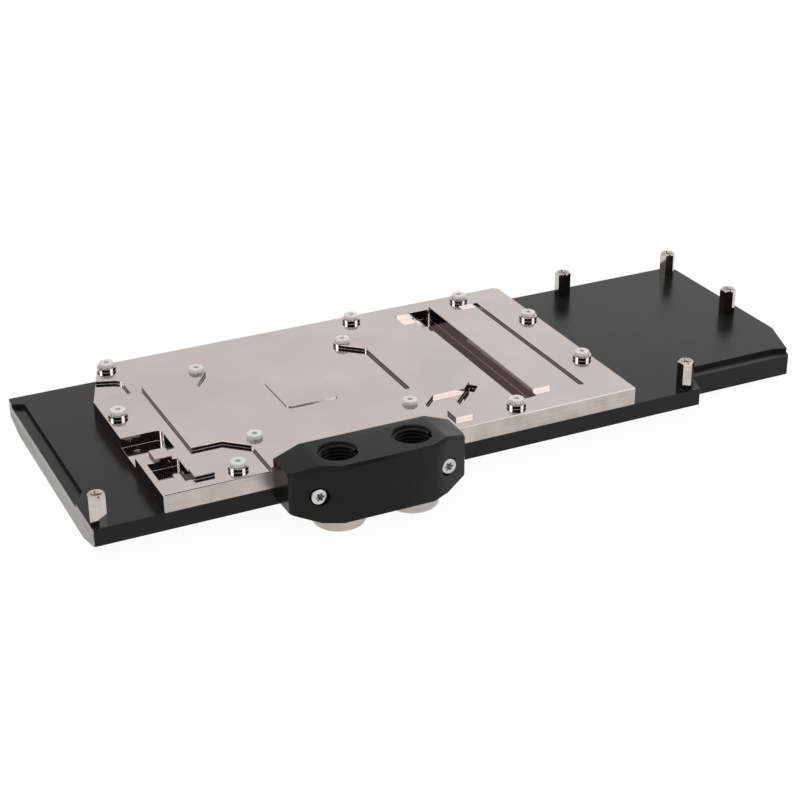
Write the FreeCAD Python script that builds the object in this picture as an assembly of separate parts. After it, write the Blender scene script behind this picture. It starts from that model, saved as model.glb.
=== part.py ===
import FreeCAD, Part
import math
import os

Vector = FreeCAD.Vector

# Liquid cooling cold plate for an accelerator card, lying cold side up as it is shown.
# All sizes are in millimetres. The sizes below are measured from the front left corner
# of the joint face between the cover plate and the cold plate; at the end everything is
# moved so that the origin is the middle of the chip contact pad.

# Cover plate, black, under the cold plate
cover_length = 287.0
cover_width = 105.4
cover_thickness = 9.5
cover_bevel_run = 12.5
cover_bevel_rise = 3.1
cover_corner_radius = 1.0
near_sharp_radius = 0.5
end_step_start = 230.5
end_step_depth = 12.1
end_step_slant = 3.7
end_slant_length = 7.6
end_slant_width = 21.2
ledge_depth = 1.5
left_ledge_front = 18.9
left_ledge_back = cover_width - 4.7
left_ledge_reach = 4.3
left_ledge_slant = 7.1
right_ledge_reach = 4.8
right_ledge_turn = 4.4
right_ledge_end = 2.0
right_ledge_radius = 3.0

# Cold plate, nickel plated copper
plate_left = 24.0
plate_right = 202.4
plate_back_margin = 0.2
plate_back = cover_width - plate_back_margin
plate_thickness = 6.5
plate_corner_radius = 2.5
plate_edge_chamfer = 0.3
back_cut_start = 76.8
back_cut_reach = 10.1
land_rise = 1.35
land_top = plate_thickness + land_rise
land_edge_chamfer = 0.2
milled_corner = 1.5
cutter_corner = 1.0

# Chip contact pad and the square of four screws round it
chip_x = 93.8
chip_y = 52.2
chip_pad_length = 19.9
chip_pad_width = 23.4
chip_pad_rise = 0.4
chip_pad_radius = 2.0
chip_screw_pitch = 58.6

# Raised land that touches the memory chips on three sides of the chip: two arms and a bridge
arm_left_distance = 32.9
arm_left_width = 18.5
arm_right_distance = 34.8
arm_right_width = 21.4
arm_left_inner = chip_x - arm_left_distance
arm_left_outer = arm_left_inner - arm_left_width
arm_right_inner = chip_x + arm_right_distance
arm_right_outer = arm_right_inner + arm_right_width
arm_front = 25.0
arm_left_back = 79.2
arm_right_back = 81.0
bridge_left_inset = 0.5
bridge_right_inset = 1.2
bridge_left = arm_left_inner + bridge_left_inset
bridge_right = arm_right_inner - bridge_right_inset
bridge_back = 33.4
left_shoulder_length = 8.0
left_shoulder_width = 7.3
right_shoulder = 5.9
arm_corner_cut = 4.1
gusset_left_start = 70.6
gusset_right_start = 71.7

# Small raised blocks, each as its left, front, right and back edge
blocks = {
    "left": (28.9, 22.6, 34.8, 29.4),
    "front": (36.7, 5.4, 43.7, 11.6),
    "choke": (132.4, 5.4, 139.0, 12.0),
}
strip_width = 7.1
strip_front = 13.3

# Screw bosses for the circuit board, with the washers that lie on them
boss_radius = 3.5
screw_hole_radius = 1.25
screw_hole_depth = 3.4
washer_radius = 2.9
washer_hole_radius = 1.5
washer_thickness = 1.6
washer_edge = 0.25
board_screws = {
    "back_left": (36.3, plate_back - 4.8),
    "left": (28.3, 61.2),
    "front_left": (52.3, 6.7),
    "back_middle": (135.3, plate_back - 4.8),
    "back_right": (plate_right - 20.5, plate_back - 5.7),
    "right_rear": (plate_right - 4.2, 71.8),
    "right_fore": (plate_right - 4.2, 30.9),
    "front_right": (157.0, 6.7),
}

# Recess at the slanted left edge
recess_depth = 1.2
recess_front = 76.9
recess_back = 87.7
recess_reach = 14.0
recess_corner = 1.9

# Deep pocket in the left edge, flush with the left block, with a blind hole in its floor
pocket_floor = 2.6
pocket_front = blocks["left"][3]
pocket_back = 44.85
pocket_reach = 14.3
pocket_radius = 2.0
pocket_hole_radius = 1.1
pocket_hole_depth = 1.5
pocket_hole_at = (28.4, 40.3)

# Notch in front of the left block, with a channel that runs on beside the front block
notch_floor = 3.6
notch_left = 26.0
notch_front = 9.9
notch_step_x = 31.2
notch_step_y = 11.9
channel_left = 33.7
channel_front = 6.2

# Long slot for the power stages, with a pocket at its back end
slot_left = 159.75
slot_width = 7.55
slot_front = 10.2
slot_back = plate_back - 8.1
slot_floor = 2.8
slot_side_reach = 7.65
slot_side_front = 77.4
slot_side_floor = 4.1

# Slanted slot that runs on from the cut corner of the land's right arm
trench_left = arm_right_outer - 10.5
trench_depth = 1.45
trench_width = 3.5

# Thin groove at the right, with a wider foot at its back end
groove_left = plate_right - 17.0
groove_width = 2.1
groove_depth = 1.0
groove_front = 11.0
groove_back = plate_back - 10.6
groove_foot_reach = 6.1
groove_foot_width = 4.2

# Coolant space on the joint side of the cold plate
chamber_left = 52.0
chamber_right = 138.0
chamber_front = 17.0
chamber_back = plate_back - 15.2
chamber_depth = 3.2
chamber_radius = 5.0
fin_field_length = 28.0
fin_field_width = 30.0
fin_pitch = 1.0
fin_thickness = 0.5

# Jet plate, let into the cover plate under the fins
jet_thickness = 0.8
jet_margin = 3.0
jet_clearance = 0.05
jet_slot_width = 1.6
jet_slot_margin = 1.0
feed_depth = 3.0
feed_width = 12.0

# Main seal round the coolant space, in a groove of the cover plate
seal_width = 1.6
seal_groove_width = 1.8
seal_thickness = 1.2
seal_margin = 4.6
seal_radius = 8.0

# Socket head screws that hold the cover plate to the cold plate
cover_screw_row = plate_right - 23.9
cover_screw_radius = 1.5
cover_screw_head_radius = 2.75
cover_screw_head_height = 3.0
cover_screw_key = 2.5
cover_screw_key_depth = 1.5
cover_screw_seat = 4.2
cover_screw_engagement = 3.8
screw_clearance = 0.2
tap_clearance = 0.05
counterbore_clearance = 0.3
tap_extra_depth = 0.6
cover_screws = [
    (42.0, 36.0),
    (42.0, 60.0),
    (42.0, plate_back - 19.2),
    (44.0, 4.9),
    (52.0, plate_back - 5.2),
    (chip_x, plate_back - 6.2),
    (121.0, plate_back - 6.2),
    (150.0, plate_back - 5.4),
    (152.0, 34.0),
    (153.0, 60.0),
    (148.0, 4.9),
    (cover_screw_row, 20.0),
    (cover_screw_row, plate_back - 17.2),
    (plate_right - 7.4, 52.0),
]

# Hexagon standoffs with a stud below, screwed into the cover plate: x, y and turn in degrees
standoff_across_flats = 5.5
standoff_height = 10.0
standoff_edge_chamfer = 0.7
standoff_hole_radius = 1.25
standoff_hole_depth = 7.0
standoff_mouth_radius = 1.9
stud_radius = 1.5
stud_length = 5.0
standoffs = {
    "front_left": (3.5, 5.2, 20.0),
    "back_middle": (230.3, cover_width - 5.5, 29.0),
    "back_right": (cover_length - 6.6, cover_width - 6.8, 45.0),
    "right": (cover_length - 6.6, 55.0, 35.0),
    "front_right": (227.0, 5.2, 41.5),
}

# Terminal block with the two hose ports, on the front edge
terminal_middle = 94.3
port_pitch = 27.0
port_end_distance = 18.7
ports = {
    "left": terminal_middle - port_pitch / 2,
    "right": terminal_middle + port_pitch / 2,
}
terminal_left = ports["left"] - port_end_distance
terminal_right = ports["right"] + port_end_distance
terminal_front = -21.5
terminal_shoulder = -13.6
terminal_facet = 15.8
terminal_bottom = -6.4
terminal_height = 20.7
terminal_top = terminal_bottom + terminal_height
terminal_end_slope_length = 9.2
terminal_top_drop = 3.4
terminal_bottom_rise = 3.0
terminal_bevel = 1.0
port_y = -10.2
port_radius = 6.58
port_core_radius = 5.72
port_thread_length = 9.0
port_mouth_radius = 7.0
passage_length = 11.0
passage_height = 3.0
passage_level = 3.3
passage_depth = 14.0
neck_front = 7.0
neck_back = 15.0

# Oval seals between the terminal block and the cold plate
oval_seal_width = 1.2
oval_seal_thickness = 0.9
oval_seal_margin = 0.4
oval_groove_extra = 0.1

# Two star head screws that hold the terminal block
terminal_screw_distance = 9.9
terminal_screw_radius = 1.5
terminal_screw_head_radius = 2.75
terminal_screw_head_height = 3.0
terminal_screw_head_chamfer = 0.3
terminal_screw_seat = -15.0
terminal_screw_reach = 7.0
terminal_counterbore_radius = 3.2
star_radius = 1.55
star_waist_radius = 1.1
star_depth = 1.4
star_arms = 6
terminal_screws = {
    "left": ports["left"] - terminal_screw_distance,
    "right": ports["right"] + terminal_screw_distance,
}

# Screw plugs that close the ports below
plug_head_radius = 9.0
plug_head_height = 4.8
plug_head_chamfer = 0.4
plug_shank_radius = 6.5
plug_shank_length = 7.0
plug_key = 6.0
plug_key_depth = 2.6
plug_seal_inner = 6.7
plug_seal_width = 1.2
plug_seal_thickness = 0.8

# How far cutters reach past what they cut, and what counts as the same place
past = 1.0
same = 1e-6


def chip_screw_places():
    """Places of the four screws round the chip, by name."""
    half = chip_screw_pitch / 2
    return {
        "chip_front_left": (chip_x - half, chip_y - half),
        "chip_front_right": (chip_x + half, chip_y - half),
        "chip_back_left": (chip_x - half, chip_y + half),
        "chip_back_right": (chip_x + half, chip_y + half),
    }


def plan(points, low, high):
    """Upright solid on a closed plan. A point is x, y and, where the corner is round, its radius."""
    corners = [tuple(p) if len(p) == 3 else (*p, 0.0) for p in points]
    stations = []
    for i, (x, y, radius) in enumerate(corners):
        here = Vector(x, y, low)
        if radius == 0:
            stations.append((here, None, here))
            continue
        before = Vector(*corners[i - 1][:2], low) - here
        after = Vector(*corners[(i + 1) % len(corners)][:2], low) - here
        half = before.getAngle(after) / 2
        before.normalize()
        after.normalize()
        setback = radius / math.tan(half)
        inward = (before + after).normalize()
        crown = here + inward * (radius / math.sin(half) - radius)
        stations.append((here + before * setback, crown, here + after * setback))
    edges = []
    for i, (start, crown, end) in enumerate(stations):
        if crown is not None:
            edges.append(Part.Arc(start, crown, end).toShape())
        following = stations[(i + 1) % len(stations)][0]
        if end.distanceToPoint(following) > same:
            edges.append(Part.makeLine(end, following))
    return Part.Face(Part.Wire(edges)).extrude(Vector(0, 0, high - low))


def rectangle(left, front, right, back, radius=0.0):
    """The four corners of a rectangle, for plan."""
    return [(left, front, radius), (right, front, radius), (right, back, radius), (left, back, radius)]


def ring(left, front, right, back, radius, width, low, high):
    """Flat band of the given width round a rounded rectangle, which is its middle line."""
    half = width / 2
    outer = rectangle(left - half, front - half, right + half, back + half, radius + half)
    inner = rectangle(left + half, front + half, right - half, back - half, radius - half)
    return plan(outer, low, high).cut(plan(inner, low, high))


def cylinder(x, y, radius, low, high):
    """Upright cylinder."""
    return Part.makeCylinder(radius, high - low, Vector(x, y, low))


def hexagon_corner(across_flats):
    """Distance from the middle of a hexagon to its corners."""
    return across_flats / (2 * math.cos(math.radians(30)))


def hexagon(x, y, across_flats, low, high, turn=0.0):
    """Upright hexagonal prism."""
    reach = hexagon_corner(across_flats)
    angles = [math.radians(turn + 60 * k) for k in range(6)]
    return plan([(x + reach * math.cos(a), y + reach * math.sin(a)) for a in angles], low, high)


def star(low, high):
    """Upright prism on a six-armed star round the origin, the drive of the terminal's screws."""
    points = []
    for k in range(2 * star_arms):
        reach = star_radius if k % 2 == 0 else star_waist_radius
        angle = math.pi * k / star_arms
        points.append((reach * math.cos(angle), reach * math.sin(angle)))
    return plan(points, low, high)


def lengthwise(solid, x, level):
    """Turns an upright solid modelled round the origin so that its +Z becomes +Y, at this x and height."""
    turned = solid.copy()
    turned.rotate(Vector(0, 0, 0), Vector(1, 0, 0), -90)
    turned.translate(Vector(x, 0, level))
    return turned


def top_edges(solid, level):
    """The edges of a solid that lie at one height."""
    return [e for e in solid.Edges if all(abs(v.Z - level) < same for v in e.Vertexes)]


def cover_plan():
    """Plan of the cover plate: stepped back at the right, with a slanted corner."""
    return [
        (0, 0, cover_corner_radius),
        (end_step_start, 0, near_sharp_radius),
        (end_step_start + end_step_slant, end_step_depth, cover_corner_radius),
        (cover_length - end_slant_length, end_step_depth, cover_corner_radius),
        (cover_length, end_step_depth + end_slant_width, cover_corner_radius),
        (cover_length, cover_width, cover_corner_radius),
        (0, cover_width, cover_corner_radius),
    ]


def cover_section():
    """The cover plate's section, bevelled below along its front and back, drawn over its full length."""
    rim = cover_bevel_rise - cover_thickness
    points = [
        (0, 0),
        (cover_width, 0),
        (cover_width, rim),
        (cover_width - cover_bevel_run, -cover_thickness),
        (cover_bevel_run, -cover_thickness),
        (0, rim),
    ]
    wire = Part.makePolygon([Vector(0, y, z) for y, z in points + points[:1]])
    return Part.Face(wire).extrude(Vector(cover_length, 0, 0))


def cover_ledges():
    """What is milled away along the left end and along the stepped front edge at the right."""
    left = [
        (-past, left_ledge_front - past),
        (0, left_ledge_front),
        (left_ledge_reach, left_ledge_front + left_ledge_slant, milled_corner),
        (left_ledge_reach, left_ledge_back - left_ledge_reach / 2, milled_corner),
        (0, left_ledge_back),
        (-past, left_ledge_back + past / 2),
    ]
    step_foot = end_step_start + end_step_slant
    slant_x = cover_length - end_slant_length
    wall = end_step_depth + right_ledge_reach
    right = [
        (step_foot, end_step_depth - past),
        (slant_x + right_ledge_reach, end_step_depth - past),
        (slant_x + right_ledge_reach, end_step_depth + right_ledge_end),
        (slant_x - right_ledge_turn, wall, right_ledge_radius),
        (step_foot, wall, milled_corner),
    ]
    return [plan(left, -ledge_depth, past), plan(right, -ledge_depth, past)]


def feed_plan(margin):
    """Plan of the coolant feed from the right port's neck to the fins, grown by a margin."""
    neck_x = ports["right"]
    half = feed_width / 2
    return [
        (neck_x - half - margin, neck_front - margin, milled_corner + margin),
        (neck_x + half + margin, neck_front - margin, milled_corner + margin),
        (neck_x + half + margin, chip_y + half + margin, milled_corner + margin),
        (chip_x - fin_field_length / 2 - margin, chip_y + half + margin, milled_corner + margin),
        (chip_x - fin_field_length / 2 - margin, chip_y - half - margin, milled_corner + margin),
        (neck_x - half - margin, chip_y - half - margin, milled_corner),
    ]


def seal_ring(width):
    """The main seal, or its groove, in the cover plate's joint face."""
    return ring(
        chamber_left - seal_margin,
        neck_front - seal_margin,
        chamber_right + seal_margin,
        chamber_back + seal_margin,
        seal_radius,
        width,
        -seal_thickness,
        0,
    )


def cover_plate():
    """Stepped plate with bevelled underside, seal groove, coolant feed and screw holes."""
    body = cover_section().common(plan(cover_plan(), -cover_thickness, 0))
    cuts = [*cover_ledges(), seal_ring(seal_groove_width)]
    cuts.append(plan(feed_plan(jet_margin), -jet_thickness, past))
    cuts.append(plan(feed_plan(0), -jet_thickness - feed_depth, past))
    for x, y in cover_screws:
        bore = cover_screw_head_radius + counterbore_clearance
        cuts.append(cylinder(x, y, cover_screw_radius + screw_clearance, -cover_thickness, past))
        cuts.append(cylinder(x, y, bore, -cover_thickness - past, -cover_screw_seat))
    for x, y, _ in standoffs.values():
        hole_end = -stud_length - tap_extra_depth
        cuts.append(cylinder(x, y, stud_radius + tap_clearance, hole_end, past))
    return body.cut(cuts)


def plate_plan():
    """Plan of the cold plate, with its slanted edge at the back left."""
    return [
        (plate_left, 0, near_sharp_radius),
        (plate_right, 0, near_sharp_radius),
        (plate_right, plate_back, plate_corner_radius),
        (plate_left + back_cut_reach, plate_back, milled_corner),
        (plate_left, back_cut_start, milled_corner),
    ]


def memory_land():
    """Raised land round three sides of the chip, with gussets to the two rear chip screws."""
    left_x, rear_y = chip_screw_places()["chip_back_left"]
    right_x = chip_screw_places()["chip_back_right"][0]
    reach = boss_radius / math.sqrt(2)
    return [
        (bridge_left, 0),
        (bridge_right, 0),
        (bridge_right, arm_front - right_shoulder),
        (bridge_right + right_shoulder, arm_front),
        (arm_right_outer - arm_corner_cut, arm_front, cutter_corner),
        (arm_right_outer, arm_front + arm_corner_cut),
        (arm_right_outer, arm_right_back, milled_corner),
        (arm_right_inner + reach, arm_right_back),
        (right_x + reach, rear_y + reach),
        (right_x - reach, rear_y - reach),
        (arm_right_inner, gusset_right_start, milled_corner),
        (arm_right_inner, bridge_back, milled_corner),
        (arm_left_inner, bridge_back, milled_corner),
        (arm_left_inner, gusset_left_start),
        (left_x + reach, rear_y - reach),
        (left_x - reach, rear_y + reach),
        (arm_left_inner - boss_radius, arm_left_back),
        (arm_left_outer, arm_left_back, milled_corner),
        (arm_left_outer, arm_front),
        (bridge_left - left_shoulder_length, arm_front),
        (bridge_left, arm_front - left_shoulder_width),
    ]


def raised_plans():
    """Plans of all that stands above the cold side's base level, apart from the bosses."""
    strip_left = slot_left + slot_width
    strip = rectangle(strip_left, strip_front, strip_left + strip_width, slot_back)
    return [memory_land(), *(rectangle(*b) for b in blocks.values()), strip]


def recess_plan():
    """The shallow recess, whose back wall stands square to the plate's slanted edge."""
    edge = plate_left - past
    right = plate_left + recess_reach
    slope = back_cut_reach / (plate_back - back_cut_start)
    turn_x = right - recess_corner
    turn_y = recess_back + recess_corner
    return [
        (edge, recess_front),
        (right, recess_front),
        (right, recess_back, cutter_corner),
        (turn_x, turn_y, cutter_corner),
        (edge, turn_y + (turn_x - edge) * slope),
    ]


def pocket_plan():
    """The deep pocket, open at the plate's left edge."""
    edge = plate_left - past
    right = plate_left + pocket_reach
    return [
        (edge, pocket_front),
        (right, pocket_front, milled_corner),
        (right, pocket_back, pocket_radius),
        (edge, pocket_back),
    ]


def notch_plan():
    """The notch and its channel, between the left block and the front block."""
    channel_right = blocks["front"][0]
    back = blocks["left"][1]
    return [
        (notch_left, notch_front),
        (notch_step_x, notch_front),
        (notch_step_x, notch_step_y),
        (channel_left, notch_step_y),
        (channel_left, channel_front),
        (channel_right, channel_front),
        (channel_right, back, cutter_corner),
        (notch_left, back),
    ]


def trench_plan():
    """The slanted slot: one wall in line with the arm's cut corner, its left end parallel to the arm."""
    end_x = arm_right_outer
    end_y = arm_front + arm_corner_cut
    across = trench_width / math.sqrt(2)
    far_y = end_y - (end_x - trench_left)
    return [
        (trench_left, far_y),
        (trench_left, far_y - 2 * across, cutter_corner),
        (end_x + across, end_y - across, cutter_corner),
        (end_x, end_y),
    ]


def slot_plans():
    """The long slot and the pocket beside its back end."""
    right = slot_left + slot_width
    side_left = slot_left - slot_side_reach
    slot = rectangle(slot_left, slot_front, right, slot_back, cutter_corner)
    side = [
        (side_left, slot_side_front, milled_corner),
        (slot_left + past, slot_side_front),
        (slot_left + past, slot_back),
        (side_left, slot_back, milled_corner),
    ]
    return slot, side


def groove_plan():
    """The thin groove, round at its front end, with its foot."""
    groove_right = groove_left + groove_width
    foot_left = groove_left - groove_foot_reach
    foot_front = groove_back - groove_foot_width
    return [
        (groove_left, groove_front, groove_width / 2),
        (groove_right, groove_front, groove_width / 2),
        (groove_right, groove_back),
        (foot_left, groove_back),
        (foot_left, foot_front),
        (groove_left, foot_front),
    ]


def recess_cutters():
    """The milled recesses of the cold side, each as the solid that is cut away."""
    above = land_top + past
    slot, slot_side = slot_plans()
    return [
        plan(recess_plan(), plate_thickness - recess_depth, above),
        plan(pocket_plan(), pocket_floor, above),
        plan(notch_plan(), notch_floor, above),
        plan(slot, slot_floor, above),
        plan(slot_side, slot_side_floor, above),
        plan(groove_plan(), plate_thickness - groove_depth, above),
        plan(trench_plan(), plate_thickness - trench_depth, above),
    ]


def coolant_cutters():
    """Chamber, port necks and passages on the joint side of the cold plate, with the fins left standing."""
    chamber = plan(
        rectangle(chamber_left, chamber_front, chamber_right, chamber_back, chamber_radius),
        -past,
        chamber_depth,
    )
    count = int(round(fin_field_length / fin_pitch))
    first = chip_x - (count - 1) * fin_pitch / 2 - fin_thickness / 2
    front = chip_y - fin_field_width / 2
    fins = [
        Part.makeBox(
            fin_thickness,
            fin_field_width,
            chamber_depth + past,
            Vector(first + i * fin_pitch, front, -past),
        )
        for i in range(count)
    ]
    cutters = [chamber.cut(fins)]
    half = passage_length / 2
    for side, x in ports.items():
        back = neck_back if side == "right" else chamber_front + past
        cutters.append(plan(rectangle(x - half, neck_front, x + half, back, milled_corner), -past, passage_level))
        oval = plan(oval_plan(passage_length, passage_height), -past, passage_depth - past)
        cutters.append(lengthwise(oval, x, passage_level))
    return cutters


def oval_plan(length, height):
    """Plan of a slot with round ends, middled on the origin."""
    return rectangle(-length / 2, -height / 2, length / 2, height / 2, height / 2)


def cold_plate():
    """Nickel plated plate: lands, bosses, recesses above, coolant space and fins below."""
    base = plan(plate_plan(), 0, plate_thickness)
    base = base.makeChamfer(plate_edge_chamfer, top_edges(base, plate_thickness))
    inside = chamber_depth + past
    raised = []
    for points in raised_plans():
        land = plan(points, inside, land_top)
        raised.append(land.makeChamfer(land_edge_chamfer, top_edges(land, land_top)))
    pad = plan(
        rectangle(
            chip_x - chip_pad_length / 2,
            chip_y - chip_pad_width / 2,
            chip_x + chip_pad_length / 2,
            chip_y + chip_pad_width / 2,
            chip_pad_radius,
        ),
        inside,
        plate_thickness + chip_pad_rise,
    )
    places = list(chip_screw_places().values()) + list(board_screws.values())
    bosses = [cylinder(x, y, boss_radius, inside, land_top) for x, y in places]
    body = base.fuse([*raised, pad])
    body = body.cut(recess_cutters())
    body = body.fuse(bosses)
    cuts = coolant_cutters()
    for x, y in places:
        cuts.append(cylinder(x, y, screw_hole_radius, land_top - screw_hole_depth, land_top + past))
    for x, y in cover_screws:
        tip = cover_screw_engagement + tap_extra_depth
        cuts.append(cylinder(x, y, cover_screw_radius + tap_clearance, -past, tip))
    for x in terminal_screws.values():
        deep = terminal_screw_reach + tap_extra_depth
        hole = cylinder(0, 0, terminal_screw_radius + tap_clearance, -past, deep)
        cuts.append(lengthwise(hole, x, passage_level))
    cuts.append(cylinder(*pocket_hole_at, pocket_hole_radius, pocket_floor - pocket_hole_depth, pocket_floor + past))
    return body.cut(cuts).removeSplitter()


def main_seal():
    """Rubber seal round the coolant space."""
    return seal_ring(seal_width)


def jet_plate():
    """Thin steel plate that turns the coolant into a sheet on the middle of the fins."""
    sheet = plan(feed_plan(jet_margin - jet_clearance), -jet_thickness, 0)
    half_length = fin_field_length / 2 - jet_slot_margin
    half_width = jet_slot_width / 2
    jet = rectangle(chip_x - half_length, chip_y - half_width, chip_x + half_length, chip_y + half_width)
    neck_x = ports["right"]
    half = passage_length / 2
    inlet = rectangle(neck_x - half, neck_front, neck_x + half, neck_back, milled_corner)
    return sheet.cut([plan(jet, -past, past), plan(inlet, -past, past)])


def cover_screw_set():
    """All the screws that hold the cover plate, heads down in their counterbores."""
    screws = []
    for x, y in cover_screws:
        head_low = -cover_screw_seat - cover_screw_head_height
        head = cylinder(x, y, cover_screw_head_radius, head_low, -cover_screw_seat)
        shank = cylinder(x, y, cover_screw_radius, -cover_screw_seat, cover_screw_engagement)
        key = hexagon(x, y, cover_screw_key, head_low, head_low + cover_screw_key_depth)
        screws.append(head.fuse(shank).cut(key).removeSplitter())
    return Part.makeCompound(screws)


def standoff(x, y, turn):
    """Hexagon standoff with a chamfered top, a screw hole above and a stud below."""
    post = hexagon(x, y, standoff_across_flats, 0, standoff_height, turn)
    corner = hexagon_corner(standoff_across_flats)
    low = corner - standoff_edge_chamfer
    cone = Part.makeCone(corner + standoff_height, low, standoff_height + corner - low, Vector(x, y, -(corner - low)))
    post = post.common(cone)
    stud = cylinder(x, y, stud_radius, -stud_length, 0)
    hole = cylinder(x, y, standoff_hole_radius, standoff_height - standoff_hole_depth, standoff_height + past)
    mouth_depth = standoff_mouth_radius - standoff_hole_radius
    mouth = Part.makeCone(
        standoff_hole_radius,
        standoff_mouth_radius,
        mouth_depth,
        Vector(x, y, standoff_height - mouth_depth),
    )
    return post.fuse(stud).cut([hole, mouth]).removeSplitter()


def washer(x, y):
    """Soft washer with a broken upper rim, lying on its boss."""
    top = land_top + washer_thickness
    disc = cylinder(x, y, washer_radius, land_top, top)
    disc = disc.makeChamfer(washer_edge, top_edges(disc, top))
    return disc.cut(cylinder(x, y, washer_hole_radius, land_top - past, top + past))


def terminal_body():
    """The terminal block without its bores: slanted facets in front, ends sloping above and below."""
    body = plan(
        [
            (terminal_left, 0),
            (terminal_left, terminal_shoulder),
            (terminal_left + terminal_facet, terminal_front),
            (terminal_right - terminal_facet, terminal_front),
            (terminal_right, terminal_shoulder),
            (terminal_right, 0),
        ],
        terminal_bottom,
        terminal_top,
    )
    shoulders = [e for e in body.Edges if all(abs(v.Y - terminal_shoulder) < same for v in e.Vertexes)]
    body = body.makeChamfer(terminal_bevel, shoulders)
    slope = terminal_end_slope_length
    shoulder_top = terminal_top - terminal_top_drop
    front_view = [
        (terminal_left, terminal_bottom + terminal_bottom_rise),
        (terminal_left + slope, terminal_bottom),
        (terminal_right - slope, terminal_bottom),
        (terminal_right, terminal_bottom + terminal_bottom_rise),
        (terminal_right, shoulder_top),
        (terminal_right - slope, terminal_top),
        (terminal_left + slope, terminal_top),
        (terminal_left, shoulder_top),
    ]
    wire = Part.makePolygon([Vector(x, past, z) for x, z in front_view + front_view[:1]])
    body = body.common(Part.Face(wire).extrude(Vector(0, terminal_front - 2 * past, 0)))
    rim = [
        e
        for e in body.Edges
        if all(v.Y < -past and v.Z > shoulder_top - same for v in e.Vertexes)
        and abs(e.Vertexes[0].X - e.Vertexes[1].X) > same
    ]
    return body.makeChamfer(terminal_bevel, rim)


def terminal_block():
    """Black block with two ports from top to bottom, passages to the plate and screw holes."""
    cuts = []
    for x in ports.values():
        cuts += port_cutters(x)
    for x in terminal_screws.values():
        clear = terminal_screw_radius + screw_clearance
        cuts.append(lengthwise(cylinder(0, 0, clear, terminal_front, past), x, passage_level))
        recess = cylinder(0, 0, terminal_counterbore_radius, terminal_front - past, terminal_screw_seat)
        cuts.append(lengthwise(recess, x, passage_level))
    return terminal_body().cut(cuts).removeSplitter()


def port_cutters(x):
    """One port: threaded mouths above and below, a core between them, the passage and the seal groove."""
    thread_end = terminal_top - port_thread_length
    plug_end = terminal_bottom + plug_shank_length + tap_extra_depth
    mouth_depth = port_mouth_radius - port_radius
    mouth = Part.makeCone(port_radius, port_mouth_radius, mouth_depth, Vector(x, port_y, terminal_top - mouth_depth))
    groove_width = oval_seal_width + 2 * oval_groove_extra
    groove = oval_band(groove_width, -oval_seal_thickness, past)
    return [
        cylinder(x, port_y, port_radius, thread_end, terminal_top + past),
        cylinder(x, port_y, port_core_radius, plug_end - past, thread_end + past),
        cylinder(x, port_y, port_radius, terminal_bottom - past, plug_end),
        mouth,
        lengthwise(plan(oval_plan(passage_length, passage_height), port_y, past), x, passage_level),
        lengthwise(groove, x, passage_level),
    ]


def oval_band(width, low, high):
    """Band round the passage's oval mouth, for the seal and its groove."""
    middle = 2 * oval_seal_margin + oval_seal_width
    outer = oval_plan(passage_length + middle + width, passage_height + middle + width)
    inner = oval_plan(passage_length + middle - width, passage_height + middle - width)
    return plan(outer, low, high).cut(plan(inner, low - past, high + past))


def oval_seal(x):
    """Oval rubber seal at one passage."""
    return lengthwise(oval_band(oval_seal_width, -oval_seal_thickness, 0), x, passage_level)


def terminal_screw(x):
    """Cap screw with a star drive, through the terminal block into the cold plate."""
    head_front = terminal_screw_seat - terminal_screw_head_height
    head = cylinder(0, 0, terminal_screw_head_radius, head_front, terminal_screw_seat)
    head = head.makeChamfer(terminal_screw_head_chamfer, top_edges(head, head_front))
    shank = cylinder(0, 0, terminal_screw_radius, terminal_screw_seat, terminal_screw_reach)
    drive = star(head_front - past, head_front + star_depth)
    return lengthwise(head.fuse(shank).cut(drive).removeSplitter(), x, passage_level)


def port_plug(x):
    """Plug under one port: flat round head with a key socket and a seal groove, shank in the thread."""
    head_low = terminal_bottom - plug_head_height
    head = cylinder(x, port_y, plug_head_radius, head_low, terminal_bottom)
    head = head.makeChamfer(plug_head_chamfer, top_edges(head, head_low))
    shank = cylinder(x, port_y, plug_shank_radius, terminal_bottom, terminal_bottom + plug_shank_length)
    shank = shank.makeChamfer(plug_head_chamfer, top_edges(shank, terminal_bottom + plug_shank_length))
    key = hexagon(x, port_y, plug_key, head_low, head_low + plug_key_depth)
    groove = plug_ring(x, plug_seal_width + 2 * oval_groove_extra)
    return head.fuse(shank).cut([key, groove]).removeSplitter()


def plug_ring(x, width):
    """Ring under the terminal block round one plug's shank, for the plug's seal and its groove."""
    middle = plug_seal_inner + plug_seal_width / 2
    low = terminal_bottom - plug_seal_thickness
    outer = cylinder(x, port_y, middle + width / 2, low, terminal_bottom)
    return outer.cut(cylinder(x, port_y, middle - width / 2, low - past, terminal_bottom + past))


def plug_seal(x):
    """Rubber ring between a plug's head and the terminal block."""
    return plug_ring(x, plug_seal_width)


def all_pieces():
    """Every piece by its node name."""
    pieces = {
        "cover_plate": cover_plate(),
        "cold_plate": cold_plate(),
        "main_seal": main_seal(),
        "jet_plate": jet_plate(),
        "cover_screws": cover_screw_set(),
        "terminal_block": terminal_block(),
    }
    for side in ports:
        pieces["terminal_seal_" + side] = oval_seal(ports[side])
        pieces["terminal_screw_" + side] = terminal_screw(terminal_screws[side])
        pieces["port_plug_" + side] = port_plug(ports[side])
        pieces["plug_seal_" + side] = plug_seal(ports[side])
    for place, (x, y, turn) in standoffs.items():
        pieces["standoff_" + place] = standoff(x, y, turn)
    for place, (x, y) in {**chip_screw_places(), **board_screws}.items():
        pieces["washer_" + place] = washer(x, y)
    return pieces


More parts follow.
